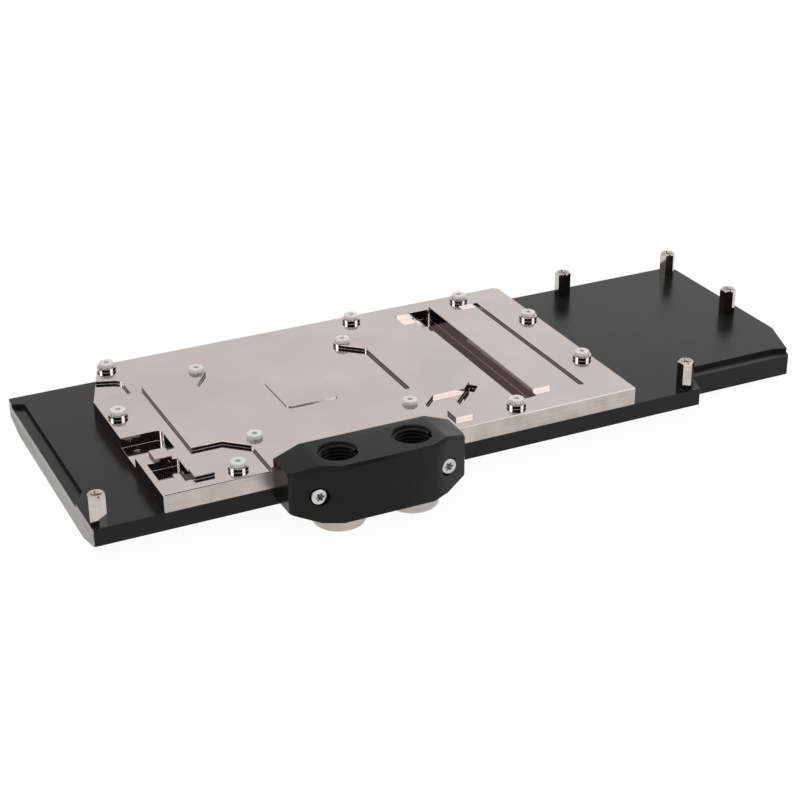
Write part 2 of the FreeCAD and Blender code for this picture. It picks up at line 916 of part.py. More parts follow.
def main():
    """Builds every piece, moves it to the part's own frame and writes one file for each node."""
    os.makedirs("parts", exist_ok=True)
    to_origin = Vector(-chip_x, -chip_y, -(plate_thickness + chip_pad_rise))
    for name, solid in all_pieces().items():
        solid.translate(to_origin)
        if not solid.isValid():
            raise ValueError(name + " is not a valid solid")
        solid.exportStep(os.path.join("parts", name + ".step"))
        box = solid.BoundBox
        print(f"{name}: {len(solid.Solids)} solid, {solid.Volume:.1f} mm3, z {box.ZMin:.2f} to {box.ZMax:.2f}")


main()
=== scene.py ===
import logging
import math
from dataclasses import dataclass, field
from enum import Enum
from typing import Any, Callable, Union

import bmesh
import bpy
from mathutils import Matrix, Vector


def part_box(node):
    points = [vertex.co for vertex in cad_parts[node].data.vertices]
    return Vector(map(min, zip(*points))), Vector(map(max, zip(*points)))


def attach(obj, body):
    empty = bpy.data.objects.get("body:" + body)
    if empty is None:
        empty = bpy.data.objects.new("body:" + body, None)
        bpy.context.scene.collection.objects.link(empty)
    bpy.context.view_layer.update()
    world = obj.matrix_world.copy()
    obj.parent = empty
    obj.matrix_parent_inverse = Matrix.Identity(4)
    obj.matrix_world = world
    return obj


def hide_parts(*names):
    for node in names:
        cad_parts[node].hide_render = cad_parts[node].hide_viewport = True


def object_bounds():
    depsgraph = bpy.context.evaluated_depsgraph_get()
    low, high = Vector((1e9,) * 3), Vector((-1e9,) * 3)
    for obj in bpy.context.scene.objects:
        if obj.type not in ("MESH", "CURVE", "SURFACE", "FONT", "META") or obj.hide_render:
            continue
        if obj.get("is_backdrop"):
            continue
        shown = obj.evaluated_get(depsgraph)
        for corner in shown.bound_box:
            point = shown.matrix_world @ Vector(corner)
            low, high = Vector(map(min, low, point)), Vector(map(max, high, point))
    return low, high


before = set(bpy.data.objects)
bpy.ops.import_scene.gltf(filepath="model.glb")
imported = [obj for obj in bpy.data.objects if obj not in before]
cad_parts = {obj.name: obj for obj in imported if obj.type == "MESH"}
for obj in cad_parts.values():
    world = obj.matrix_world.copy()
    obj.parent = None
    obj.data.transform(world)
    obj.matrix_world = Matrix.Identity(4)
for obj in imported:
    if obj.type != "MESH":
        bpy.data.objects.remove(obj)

LOG = logging.getLogger("cold_plate")
MM = 0.001
BODY = "root"
Point = tuple[float, float, float]
Colour = tuple[float, float, float, float]
Value = Union[float, "Wire"]
Piece = bpy.types.Object
Materials = dict[str, bpy.types.Material]

WHITE: Colour = (1.0, 1.0, 1.0, 1.0)
# Vertices nearer than this are one: on new pieces, and on packed ones
WELD = 0.001 * MM
PACKED_WELD = 0.002 * MM
# How far inside a side its finish still reaches
SIDE_SKIN = 0.35 * MM
# How far inside the cover's left end its painted highlight still reaches
END_GLARE_SKIN = 0.3 * MM
# A face is upright where its normal's upright part is under STEEP, and looks along an axis over ALONG
STEEP = 0.5
ALONG = 0.7
EDGE_SAMPLES = 6


class Slot(Enum):
    """The material slots, one passed with each of the scene's pieces."""

    NICKEL_PLATE = "nickel_plated_copper"
    COVER = "black_acetal"
    TERMINAL = "black_acetal_terminal"
    NICKEL_PART = "nickel_plated_brass"
    STEEL = "stainless_steel"
    WASHER = "washer_plastic"


class Side(Enum):
    """The two ends of the terminal block."""

    LEFT = "left"
    RIGHT = "right"


class Turned(Enum):
    """Boolean modes by what a turner does with the tool."""

    CUT = "DIFFERENCE"
    KEEP = "INTERSECT"
    JOIN = "UNION"


@dataclass(frozen=True)
class Wire:
    """A node socket that takes part in sums and products."""

    kit: "Kit"
    socket: bpy.types.NodeSocket

    def _math(self, operation: str, *values: Value) -> "Wire":
        """Adds one Math node on this socket and the given values."""
        return self.kit.make("ShaderNodeMath", {"operation": operation}, dict(enumerate((self, *values))))

    def __add__(self, other: Value) -> "Wire":
        """Sum."""
        return self._math("ADD", other)

    __radd__ = __add__

    def __sub__(self, other: Value) -> "Wire":
        """Difference."""
        return self._math("SUBTRACT", other)

    def __rsub__(self, other: Value) -> "Wire":
        """Difference from a number."""
        return self._math("MULTIPLY", -1.0)._math("ADD", other)

    def __mul__(self, other: Value) -> "Wire":
        """Product."""
        return self._math("MULTIPLY", other)

    __rmul__ = __mul__

    def __truediv__(self, other: Value) -> "Wire":
        """Quotient."""
        return self._math("DIVIDE", other)

    def __pow__(self, other: Value) -> "Wire":
        """Power."""
        return self._math("POWER", other)

    def __abs__(self) -> "Wire":
        """Size without its sign."""
        return self._math("ABSOLUTE")

    def above(self, limit: Value) -> "Wire":
        """One where this is over a limit, and else nought."""
        return self._math("GREATER_THAN", limit)

    def below(self, limit: Value) -> "Wire":
        """One where this is under a limit, and else nought."""
        return self._math("LESS_THAN", limit)

    def larger(self, other: Value) -> "Wire":
        """The larger of two."""
        return self._math("MAXIMUM", other)


class Kit:
    """Makes the nodes of one material or world."""

    def __init__(self, tree: bpy.types.NodeTree) -> None:
        """Empties the tree and keeps it.

        Args:
            tree: The node tree to fill.
        """
        self.tree = tree
        tree.nodes.clear()

    def make(
        self,
        kind: str,
        settings: dict[str, Any] | None = None,
        inputs: dict[Any, Any] | None = None,
        output: int | str = 0,
    ) -> Wire:
        """Makes any node, sets it and joins its sockets.

        Args:
            kind: The node's type.
            settings: Properties of the node, set first.
            inputs: Values or wires by the socket's name or number.
            output: The output socket that is returned.

        Returns:
            The chosen output as a wire, or the first input of a node that has no output.
        """
        node = self.tree.nodes.new(kind)
        for name, value in (settings or {}).items():
            setattr(node, name, value)
        for name, value in (inputs or {}).items():
            socket = node.inputs[name]
            if isinstance(value, Wire):
                self.tree.links.new(value.socket, socket)
            else:
                socket.default_value = value
        return Wire(self, node.outputs[output]) if node.outputs else Wire(self, node.inputs[0])

    def place(self) -> Wire:
        """The place on the piece, in metres of the part's frame."""
        return self.make("ShaderNodeTexCoord", output="Object")

    def facing(self) -> tuple[Wire, Wire, Wire]:
        """The three parts of the surface normal."""
        return self.split(self.make("ShaderNodeNewGeometry", output="Normal"))

    def split(self, vector: Wire) -> tuple[Wire, Wire, Wire]:
        """The three parts of a vector."""
        made = self.make("ShaderNodeSeparateXYZ", None, {0: vector})
        return tuple(Wire(self, made.socket.node.outputs[i]) for i in range(3))

    def stretched(self, scale: Point) -> Wire:
        """The place on the piece, scaled along each axis, for streaks."""
        return self.make("ShaderNodeMapping", None, {"Vector": self.place(), "Scale": scale})

    def noise(self, vector: Wire, scale: float, detail: float = 3.0, roughness: float = 0.55) -> Wire:
        """A noise pattern between nought and one."""
        inputs = {"Vector": vector, "Scale": scale, "Detail": detail, "Roughness": roughness}
        return self.make("ShaderNodeTexNoise", None, inputs)

    def ramp(self, value: Wire, low: float, high: float, bottom: float = 0.0, top: float = 1.0) -> Wire:
        """Maps a span of values to another, and holds it at its ends."""
        inputs = {"Value": value, "From Min": low, "From Max": high, "To Min": bottom, "To Max": top}
        return self.make("ShaderNodeMapRange", None, inputs)

    def mix(self, share: Value, first: Any, second: Any) -> Wire:
        """Mixes two colours by a share."""
        inputs = {0: share, 6: first, 7: second}
        return self.make("ShaderNodeMix", {"data_type": "RGBA"}, inputs, output=2)

    def bump(self, height: Wire, distance: float, strength: float, normal: Wire | None = None) -> Wire:
        """A bumped normal.

        Args:
            height: The height pattern.
            distance: What one unit of height is, in metres.
            strength: Share of the effect.
            normal: A normal to start from.

        Returns:
            The normal.
        """
        inputs: dict[str, Any] = {"Height": height, "Distance": distance, "Strength": strength}
        if normal is not None:
            inputs["Normal"] = normal
        return self.make("ShaderNodeBump", None, inputs)

    def soft_edge(self, radius: float) -> Wire:
        """A normal that rounds sharp edges by a small radius."""
        return self.make("ShaderNodeBevel", {"samples": EDGE_SAMPLES}, {"Radius": radius})

    def surface(self, inputs: dict[str, Any]) -> None:
        """Ends a material with one principled surface."""
        shader = self.make("ShaderNodeBsdfPrincipled", None, inputs)
        self.make("ShaderNodeOutputMaterial", None, {"Surface": shader})


def new_material(name: str) -> tuple[bpy.types.Material, Kit]:
    """Makes an empty node material.

    Args:
        name: The material's name.
    """
    material = bpy.data.materials.new(name)
    material.use_nodes = True
    return material, Kit(material.node_tree)


@dataclass(frozen=True)
class MilledNickel:
    """Nickel on milled copper: bright flats, glossier pocket walls darkened by painted shade, and brushed outer
    sides.
    """

    flat: Colour = (0.62, 0.565, 0.545, 1.0)
    flat_dark: Colour = (0.56, 0.51, 0.49, 1.0)
    # Painted shade: upright faces inside the outline get this colour, darker than the flats.
    painted_wall_shade: Colour = (0.52, 0.485, 0.47, 1.0)
    side: Colour = (0.57, 0.515, 0.475, 1.0)
    side_dark: Colour = (0.39, 0.35, 0.325, 1.0)
    flat_roughness: float = 0.085
    wall_roughness: float = 0.045
    side_roughness: float = 0.34
    edge_radius: float = 0.22 * MM
    depth: float = 0.02 * MM
    cloud_scale: float = 28.0
    grain_scale: float = 2600.0
    fine_scale: float = 420.0
    streak_scale: Point = (18.0, 18.0, 3600.0)
    patch_scale: Point = (110.0, 110.0, 60.0)

    def build(self, name: str, outline: "PlateOutline") -> bpy.types.Material:
        """Makes the material.

        Args:
            name: The material's name.
            outline: Where the plate's outer sides are.

        Returns:
            The material.
        """
        material, kit = new_material(name)
        _, y, _ = kit.split(kit.place())
        _, ny, nz = kit.facing()
        upright = abs(nz).below(STEEP)
        outer = y.below(outline.front).larger(y.above(outline.back)) * abs(ny).above(ALONG) * upright
        cloud = kit.noise(kit.place(), self.cloud_scale, 2.0)
        grain = kit.noise(kit.place(), self.grain_scale, 2.0, 0.6)
        flat = kit.mix(kit.ramp(cloud + (grain - 0.5) * 0.25, 0.35, 0.7), self.flat, self.flat_dark)
        streaks = kit.noise(kit.stretched(self.streak_scale), 1.0, 4.0, 0.65)
        patches = kit.noise(kit.stretched(self.patch_scale), 1.0, 3.0, 0.6)
        worn = kit.ramp(streaks * 0.45 + patches * 0.55, 0.38, 0.66)
        side = kit.mix(worn, self.side, self.side_dark)
        # Upright faces take the darker colour, a painted shade; the outer sides take the brushed colour.
        colour = kit.mix(outer, kit.mix(upright, flat, self.painted_wall_shade), side)
        fine = kit.noise(kit.place(), self.fine_scale, 3.0, 0.6)
        rough = self.flat_roughness + (self.wall_roughness - self.flat_roughness) * upright
        rough = rough + (self.side_roughness - self.wall_roughness) * outer
        roughness = rough * kit.ramp(fine, 0.3, 0.7, 0.85, 1.2)
        height = streaks * outer * 0.35 + grain * (1.0 - outer) * 0.02
        normal = kit.bump(height, self.depth, 0.5, kit.soft_edge(self.edge_radius))
        kit.surface({"Base Color": colour, "Metallic": 1.0, "Roughness": roughness, "Normal": normal})
        return material


@dataclass(frozen=True)
class BlackAcetal:
    """Machined black acetal: satin flats, faint tool marks, and a painted highlight that makes the left end face
    pale and streaked.
    """

    base: Colour = (0.006, 0.006, 0.006, 1.0)
    worn: Colour = (0.011, 0.011, 0.0105, 1.0)
    # Painted highlight: the left end face is given these pale greys in place of black.
    painted_end_glare: Colour = (0.52, 0.515, 0.50, 1.0)
    painted_end_glare_dark: Colour = (0.27, 0.265, 0.26, 1.0)
    roughness: float = 0.24
    side_roughness: float = 0.38
    specular: float = 0.2
    edge_radius: float = 0.12 * MM
    depth: float = 0.01 * MM
    cloud_scale: float = 34.0
    grain_scale: float = 1500.0
    patch_scale: float = 160.0
    mark_scale: Point = (120.0, 120.0, 2400.0)
    glare_streak_scale: Point = (900.0, 26.0, 900.0)
    glare_end_left: float | None = None

    def build(self, name: str) -> bpy.types.Material:
        """Makes the material.

        Args:
            name: The material's name.

        Returns:
            The material.
        """
        material, kit = new_material(name)
        x, _, z = kit.split(kit.place())
        nx, _, nz = kit.facing()
        flat = abs(nz).above(ALONG)
        cloud = kit.noise(kit.place(), self.cloud_scale, 3.0)
        grain = kit.noise(kit.place(), self.grain_scale, 3.0, 0.6)
        colour = kit.mix(kit.ramp(cloud * 0.6 + grain * 0.4, 0.35, 0.68), self.base, self.worn)
        rough = kit.ramp(kit.noise(kit.place(), self.patch_scale, 4.0), 0.3, 0.7, -0.03, 0.04)
        rough = rough + flat * self.roughness + (1.0 - flat) * self.side_roughness
        marks = kit.noise(kit.stretched(self.mark_scale), 1.0, 3.0)
        height = grain * 0.5 + marks * (1.0 - flat) * 0.5
        # Paints a streaked pale highlight on the left end face.
        if self.glare_end_left is not None:
            end = x.below(self.glare_end_left) * nx.below(-ALONG)
            lines = kit.noise(kit.stretched(self.glare_streak_scale), 1.0, 3.0, 0.6)
            pale = kit.mix(kit.ramp(lines, 0.3, 0.75), self.painted_end_glare, self.painted_end_glare_dark)
            colour = kit.mix(end, colour, pale)
            rough = rough + end * 0.15
        normal = kit.bump(height, self.depth, 0.5, kit.soft_edge(self.edge_radius))
        gloss = {"Roughness": rough, "Specular IOR Level": self.specular}
        kit.surface({"Base Color": colour, "Normal": normal} | gloss)
        return material


@dataclass(frozen=True)
class TurnedMetal:
    """Bright turned metal with fine rings of tool marks."""

    base: Colour = (0.62, 0.59, 0.56, 1.0)
    dark: Colour = (0.42, 0.39, 0.37, 1.0)
    roughness: float = 0.18
    depth: float = 0.004 * MM
    cloud_scale: float = 220.0
    mark_scale: Point = (150.0, 150.0, 5200.0)

    def build(self, name: str) -> bpy.types.Material:
        """Makes the material.

        Args:
            name: The material's name.

        Returns:
            The material.
        """
        material, kit = new_material(name)
        cloud = kit.noise(kit.place(), self.cloud_scale, 3.0)
        marks = kit.noise(kit.stretched(self.mark_scale), 1.0, 3.0, 0.6)
        colour = kit.mix(kit.ramp(cloud * 0.5 + marks * 0.5, 0.38, 0.66), self.base, self.dark)
        rough = kit.ramp(marks, 0.3, 0.7, self.roughness * 0.8, self.roughness * 1.35)
        normal = kit.bump(marks, self.depth, 0.5)
        kit.surface({"Base Color": colour, "Metallic": 1.0, "Roughness": rough, "Normal": normal})
        return material


@dataclass(frozen=True)
class MilkyPlastic:
    """Soft translucent plastic that lets some light through."""

    base: Colour = (0.62, 0.60, 0.59, 1.0)
    pale: Colour = (0.70, 0.68, 0.67, 1.0)
    roughness: float = 0.55
    glow: float = 0.5
    glow_reach: Point = (2.0 * MM, 2.0 * MM, 1.9 * MM)
    depth: float = 0.01 * MM
    cloud_scale: float = 700.0
    grain_scale: float = 1800.0

    def build(self, name: str) -> bpy.types.Material:
        """Makes the material.

        Args:
            name: The material's name.

        Returns:
            The material.
        """
        material, kit = new_material(name)
        cloud = kit.noise(kit.place(), self.cloud_scale, 3.0)
        colour = kit.mix(kit.ramp(cloud, 0.35, 0.65), self.base, self.pale)
        rough = kit.ramp(cloud, 0.3, 0.7, self.roughness * 0.85, self.roughness * 1.2)
        normal = kit.bump(kit.noise(kit.place(), self.grain_scale, 2.0), self.depth, 0.4)
        glow = {"Subsurface Weight": self.glow, "Subsurface Radius": self.glow_reach, "Subsurface Scale": 1.0}
        kit.surface({"Base Color": colour, "Roughness": rough, "Normal": normal} | glow)
        return material


@dataclass(frozen=True)
class SealRubber:
    """Matte black rubber."""

    base: Colour = (0.014, 0.014, 0.014, 1.0)
    dusty: Colour = (0.03, 0.03, 0.03, 1.0)
    roughness: float = 0.62
    depth: float = 0.01 * MM
    cloud_scale: float = 500.0

    def build(self, name: str) -> bpy.types.Material:
        """Makes the material.

        Args:
            name: The material's name.

        Returns:
            The material.
        """
        material, kit = new_material(name)
        cloud = kit.noise(kit.place(), self.cloud_scale, 4.0)
        colour = kit.mix(kit.ramp(cloud, 0.4, 0.7), self.base, self.dusty)
        rough = kit.ramp(cloud, 0.3, 0.7, self.roughness * 0.9, self.roughness * 1.1)
        normal = kit.bump(cloud, self.depth, 0.4)
        kit.surface({"Base Color": colour, "Roughness": rough, "Normal": normal})
        return material


@dataclass(frozen=True)
class PlateOutline:
    """Where the cold plate's front and back sides are, for its finish."""

    front: float
    back: float


def nothing_selected() -> None:
    """Deselects everything."""
    for other in list(bpy.context.selected_objects):
        other.select_set(False)


def only(obj: Piece) -> None:
    """Selects one object and makes it active.

    Args:
        obj: The object.
    """
    nothing_selected()
    bpy.context.view_layer.objects.active = obj
    obj.select_set(True)


def dress(obj: Piece, material: bpy.types.Material) -> None:
    """Gives an object one material.

    Args:
        obj: The object.
        material: Its only material from now on.
    """
    obj.data.materials.clear()
    obj.data.materials.append(material)
    for polygon in obj.data.polygons:
        polygon.material_index = 0


def into_mesh(obj: Piece) -> None:
    """Puts an object's place, turn and size into its mesh."""
    obj.data.transform(obj.matrix_world)
    obj.matrix_world = Matrix.Identity(4)


def smooth(obj: Piece, degrees: float = 30.0) -> None:
    """Shades an object smooth, apart from edges sharper than an angle."""
    only(obj)
    bpy.ops.object.shade_smooth_by_angle(angle=math.radians(degrees))


def apply_all(obj: Piece) -> None:
    """Applies every modifier of an object in order.

    Args:
        obj: The object.
    """
    only(obj)
    for modifier in list(obj.modifiers):
        bpy.ops.object.modifier_apply(modifier=modifier.name)


def cut_with(obj: Piece, tool: Piece, how: Turned) -> None:
    """Cuts, keeps or joins with a tool, which is then removed.

    Args:
        obj: The object that is worked on.
        tool: The tool.
        how: What the tool does.
    """
    modifier = obj.modifiers.new("tool", "BOOLEAN")
    modifier.operation = how.value
    modifier.solver = "EXACT"
    modifier.object = tool
    apply_all(obj)
    bpy.data.objects.remove(tool, do_unlink=True)


def copies(obj: Piece, names: list[str], places: list[Matrix]) -> list[Piece]:
    """Copies a modelled piece, each copy with its own mesh, and removes the model.

    Args:
        obj: The model.
        names: The copies' names.
        places: Where each copy stands.

    Returns:
        The copies.
    """
    made = []
    for name, place in zip(names, places):
        twin = obj.copy()
        twin.data = obj.data.copy()
        twin.data.transform(place)
        twin.name = name
        bpy.context.scene.collection.objects.link(twin)
        made.append(twin)
    bpy.data.objects.remove(obj, do_unlink=True)
    return made


def finish_piece(obj: Piece, slot: Slot, *stands_for: str) -> None:
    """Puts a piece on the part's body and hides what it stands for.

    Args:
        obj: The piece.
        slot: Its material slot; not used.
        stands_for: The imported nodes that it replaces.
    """
    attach(obj, BODY)
    if stands_for:
        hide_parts(*stands_for)
    LOG.info("piece %s: %d faces", obj.name, len(obj.data.polygons))


def weld(obj: Piece, distance: float = WELD, outwards: bool = True) -> None:
    """Merges the vertices of an object that lie together.

    Args:
        obj: The object.
        distance: Vertices nearer than this are merged.
        outwards: Whether the faces are turned outwards after it.
    """
    only(obj)
    bpy.ops.object.mode_set(mode="EDIT")
    bpy.ops.mesh.select_all(action="SELECT")
    bpy.ops.mesh.remove_doubles(threshold=distance)
    if outwards:
        bpy.ops.mesh.normals_make_consistent(inside=False)
    bpy.ops.object.mode_set(mode="OBJECT")


def section(corners: tuple[Point, ...]) -> Piece:
    """Adds a plane and moves its corners, as the section of a turned or wound piece.

    Args:
        corners: Its two near corners and then its two far ones.

    Returns:
        The section.
    """
    nothing_selected()
    bpy.ops.mesh.primitive_plane_add(size=1.0, location=(0, 0, 0))
    plane = bpy.context.object
    for vertex, corner in zip(plane.data.vertices, corners):
        vertex.co = corner
    return plane


def upright_bar(
    sides: int, radius: float, top: float, bottom: float, aside: tuple[float, float] = (0.0, 0.0)
) -> Piece:
    """Adds an upright bar between two heights.

    Args:
        sides: How many sides it has.
        radius: Its radius, over the corners.
        top: Its upper end.
        bottom: Its lower end.
        aside: Where its axis stands.

    Returns:
        The bar, its place in its mesh.
    """
    nothing_selected()
    bpy.ops.mesh.primitive_cylinder_add(
        vertices=sides, radius=radius, depth=top - bottom, location=(*aside, (top + bottom) / 2)
    )
    bar = bpy.context.object
    into_mesh(bar)
    return bar


def bevel_edges(obj: Piece, chosen: Callable[[Any], bool], offset: float, segments: int) -> None:
    """Bevels the edges of the active object that a test picks.

    Args:
        obj: The active object.
        chosen: Says of an edge whether it is bevelled.
        offset: The bevel's width to each side.
        segments: Its steps.
    """
    bpy.ops.object.mode_set(mode="EDIT")
    mesh = bmesh.from_edit_mesh(obj.data)
    for edge in mesh.edges:
        edge.select = chosen(edge)
    bmesh.update_edit_mesh(obj.data)
    bpy.ops.mesh.bevel(offset=offset, segments=segments, affect="EDGES")
    bpy.ops.object.mode_set(mode="OBJECT")


def smooth_copy(node: str, name: str) -> Piece:
    """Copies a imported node, joins its loose triangles and shades it smooth.

    Args:
        node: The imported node.
        name: The copy's name.

    Returns:
        The copy, in place.
    """
    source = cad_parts[node]
    twin = bpy.data.objects.new(name, source.data.copy())
    bpy.context.scene.collection.objects.link(twin)
    only(twin)
    if twin.data.has_custom_normals:
        bpy.ops.mesh.customdata_custom_splitnormals_clear()
    weld(twin, PACKED_WELD, outwards=False)
    smooth(twin)
    return twin


@dataclass(frozen=True)
class Thread:
    """A screw thread cut in a hole, wound as one ridge from its mouth down."""

    pitch: float
    outer: float
    inner: float
    turns: int
    steps: int
    crest_share: float = 0.08
    sharp_from: float = 35.0

    def ridge(self, name: str, place: Point) -> Piece:
        """Winds the ridge.

        Args:
            name: The ridge's name.
            place: The middle of the hole, at the height of the ridge's upper end.

        Returns:
            The ridge.
        """
        half = self.pitch / 2
        crest = self.pitch * self.crest_share
        lower = ((self.outer, 0, -half), (self.inner, 0, -crest))
        upper = ((self.outer, 0, half), (self.inner, 0, crest))
        ridge = section(lower + upper)
        ridge.name = name
        winding = ridge.modifiers.new("winding", "SCREW")
        winding.axis = "Z"
        winding.angle = math.tau
        winding.screw_offset = -self.pitch
        winding.iterations = self.turns
        winding.steps = self.steps
        winding.render_steps = self.steps
        winding.use_merge_vertices = False
        apply_all(ridge)
        weld(ridge)
        ridge.data.transform(Matrix.Translation((place[0], place[1], place[2] - half)))
        smooth(ridge, self.sharp_from)
        return ridge


def join(obj: Piece, other: Piece) -> None:
    """Puts another object's mesh into an object's, without a cut.

    Args:
        obj: The object that stays.
        other: The object that goes into it.
    """
    only(obj)
    other.select_set(True)
    bpy.ops.object.join()


def middle(node: str) -> Vector:
    """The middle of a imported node's box."""
    low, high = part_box(node)
    return (low + high) / 2


@dataclass(frozen=True)
class Panel:
    """One soft-edged panel of the surroundings, in degrees round the upright axis and up from the floor."""

    azimuth: float
    half_width: float
    top: float
    light: Colour
    soft: float = 2.0

    def share(self, kit: Kit, x: Wire, y: Wire, z: Wire) -> Wire:
        """One inside the panel and nought outside.

        Args:
            kit: The world's kit.
            x: The direction's first part.
            y: The direction's second part.
            z: The direction's upright part.

        Returns:
            The share.
        """
        turn = math.radians(self.azimuth)
        beside = (x * math.cos(turn) + y * math.sin(turn)) / (x * x + y * y) ** 0.5
        outer, inner = (math.cos(math.radians(self.half_width + s)) for s in (self.soft, -self.soft))
        under, over = (math.sin(math.radians(self.top + s)) for s in (-self.soft, self.soft))
        return kit.ramp(beside, outer, inner) * kit.ramp(z, under, over, 1.0, 0.0)


@dataclass
class Studio:
    """Camera, floor, surroundings and lamp."""

    camera_place: Point = (-215.15 * MM, -536.06 * MM, 279.0 * MM)
    camera_dip: float = 26.21
    camera_turn: float = -25.40
    camera_roll: float = -0.49
    focal_length: float = 80.14
    sensor: float = 36.0
    nearest: float = 0.01
    floor_size: float = 60.0
    floor_colour: Colour = (0.82, 0.82, 0.82, 1.0)
    floor_glow: float = 0.95
    lamp_place: Point = (0.1, 0.2, 1.2)
    lamp_aim: Point = (0.05, 0.0, 0.0)
    lamp_size: float = 0.7
    lamp_power: float = 2.5
    # A ray that has bounced once reaches the surroundings at a depth of 2, and later ones at 3 or more
    near_depth: float = 2.5
    plain: Colour = (0.86, 0.84, 0.83, 1.0)
    dark: Colour = (0.014, 0.013, 0.013, 1.0)
    zenith: Colour = (0.5, 0.5, 0.5, 1.0)
    zenith_edge: tuple[float, float] = (0.9, 0.96)
    pale_panel: Panel = Panel(azimuth=50.0, half_width=13.0, top=58.0, light=(0.93, 0.92, 0.915, 1.0), soft=10.0)
    near_panels: tuple[Panel, ...] = (
        pale_panel,
        Panel(azimuth=307.0, half_width=24.0, top=68.0, light=dark),
        Panel(azimuth=307.0, half_width=27.0, top=51.0, light=plain),
        Panel(azimuth=312.0, half_width=18.0, top=53.0, light=(1.5, 1.5, 1.5, 1.0)),
    )
    far_panels: tuple[Panel, ...] = (
        Panel(azimuth=67.5, half_width=28.0, top=58.0, light=plain, soft=3.0),
        pale_panel,
        Panel(azimuth=116.0, half_width=20.0, top=60.0, light=(0.21, 0.175, 0.168, 1.0), soft=3.0),
        Panel(azimuth=174.0, half_width=18.0, top=54.0, light=(3.8, 3.8, 3.8, 1.0)),
        Panel(azimuth=312.0, half_width=18.0, top=53.0, light=(3.0, 3.0, 3.0, 1.0)),
    )

    def axes(self) -> tuple[Vector, Vector, Vector]:
        """Works out how the camera is turned.

        Returns:
            Its right, up and forward directions.
        """
        dip, turn, roll = (math.radians(a) for a in (self.camera_dip, self.camera_turn, self.camera_roll))
        forward = Vector((-math.sin(turn) * math.cos(dip), math.cos(turn) * math.cos(dip), -math.sin(dip)))
        right = forward.cross(Vector((0, 0, 1))).normalized()
        up = right.cross(forward)
        cosine, sine = math.cos(roll), math.sin(roll)
        return cosine * right + sine * up, -sine * right + cosine * up, forward

    def add_camera(self) -> None:
        """Stands the camera where the photograph was taken from."""
        data = bpy.data.cameras.new("camera")
        data.lens = self.focal_length
        data.sensor_width = self.sensor
        data.clip_start = self.nearest
        camera = bpy.data.objects.new("camera", data)
        right, up, forward = self.axes()
        turn = Matrix((right, up, -forward)).transposed().to_4x4()
        camera.matrix_world = Matrix.Translation(self.camera_place) @ turn
        bpy.context.scene.collection.objects.link(camera)
        bpy.context.scene.camera = camera

    def add_floor(self, level: float) -> None:
        """Lays the pale floor, which looks white and keeps the part's shadow.

        Args:
            level: The part's lowest level.
        """
        nothing_selected()
        bpy.ops.mesh.primitive_plane_add(size=self.floor_size, location=(0, 0, level))
        floor = bpy.context.object
        floor.name = "floor"
        material, kit = new_material("pale_floor")
        path = kit.make("ShaderNodeLightPath").socket.node
        kinds = ("Is Camera Ray", "Is Glossy Ray", "Is Transmission Ray")
        looked, mirrored, through = (Wire(kit, path.outputs[kind]) for kind in kinds)
        seen = looked.larger(mirrored).larger(through)
        matte = kit.make("ShaderNodeBsdfDiffuse", None, {"Color": self.floor_colour})
        glow = kit.make("ShaderNodeEmission", None, {"Color": WHITE, "Strength": 1.0})
        shader = kit.make("ShaderNodeMixShader", None, {0: seen * self.floor_glow, 1: matte, 2: glow})
        kit.make("ShaderNodeOutputMaterial", None, {"Surface": shader})
        dress(floor, material)
        floor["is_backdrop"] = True

    def add_world(self) -> None:
        """Surrounds the part: white to the eye, mostly plain at a first bounce, dark with panels after it."""
        world = bpy.data.worlds.new("studio")
        bpy.context.scene.world = world
        world.use_nodes = True
        kit = Kit(world.node_tree)
        x, y, z = kit.split(kit.make("ShaderNodeTexCoord", output="Generated"))
        plain: Any = self.plain
        for panel in self.near_panels:
            plain = kit.mix(panel.share(kit, x, y, z), plain, panel.light)
        studio = kit.mix(kit.ramp(z, *self.zenith_edge), self.dark, self.zenith)
        for panel in self.far_panels:
            studio = kit.mix(panel.share(kit, x, y, z), studio, panel.light)
        path = kit.make("ShaderNodeLightPath").socket.node
        later = Wire(kit, path.outputs["Ray Depth"]).above(self.near_depth)
        light = kit.mix(later, plain, studio)
        light = kit.mix(Wire(kit, path.outputs["Is Camera Ray"]), light, WHITE)
        shade = kit.make("ShaderNodeBackground", None, {"Color": light, "Strength": 1.0})
        kit.make("ShaderNodeOutputWorld", None, {"Surface": shade})

    def add_lamp(self) -> None:
        """Hangs one soft square lamp over the part, turned towards it."""
        data = bpy.data.lights.new("top_lamp", "AREA")
        data.size = self.lamp_size
        data.energy = self.lamp_power
        lamp = bpy.data.objects.new("top_lamp", data)
        aim = (Vector(self.lamp_aim) - Vector(self.lamp_place)).to_track_quat("-Z", "Y")
        lamp.matrix_world = Matrix.Translation(self.lamp_place) @ aim.to_matrix().to_4x4()
        bpy.context.scene.collection.objects.link(lamp)

    def build(self, level: float) -> None:
        """Sets the whole studio up.

        Args:
            level: Height of the floor.
        """
        self.add_camera()
        self.add_floor(level)
        self.add_world()
        self.add_lamp()


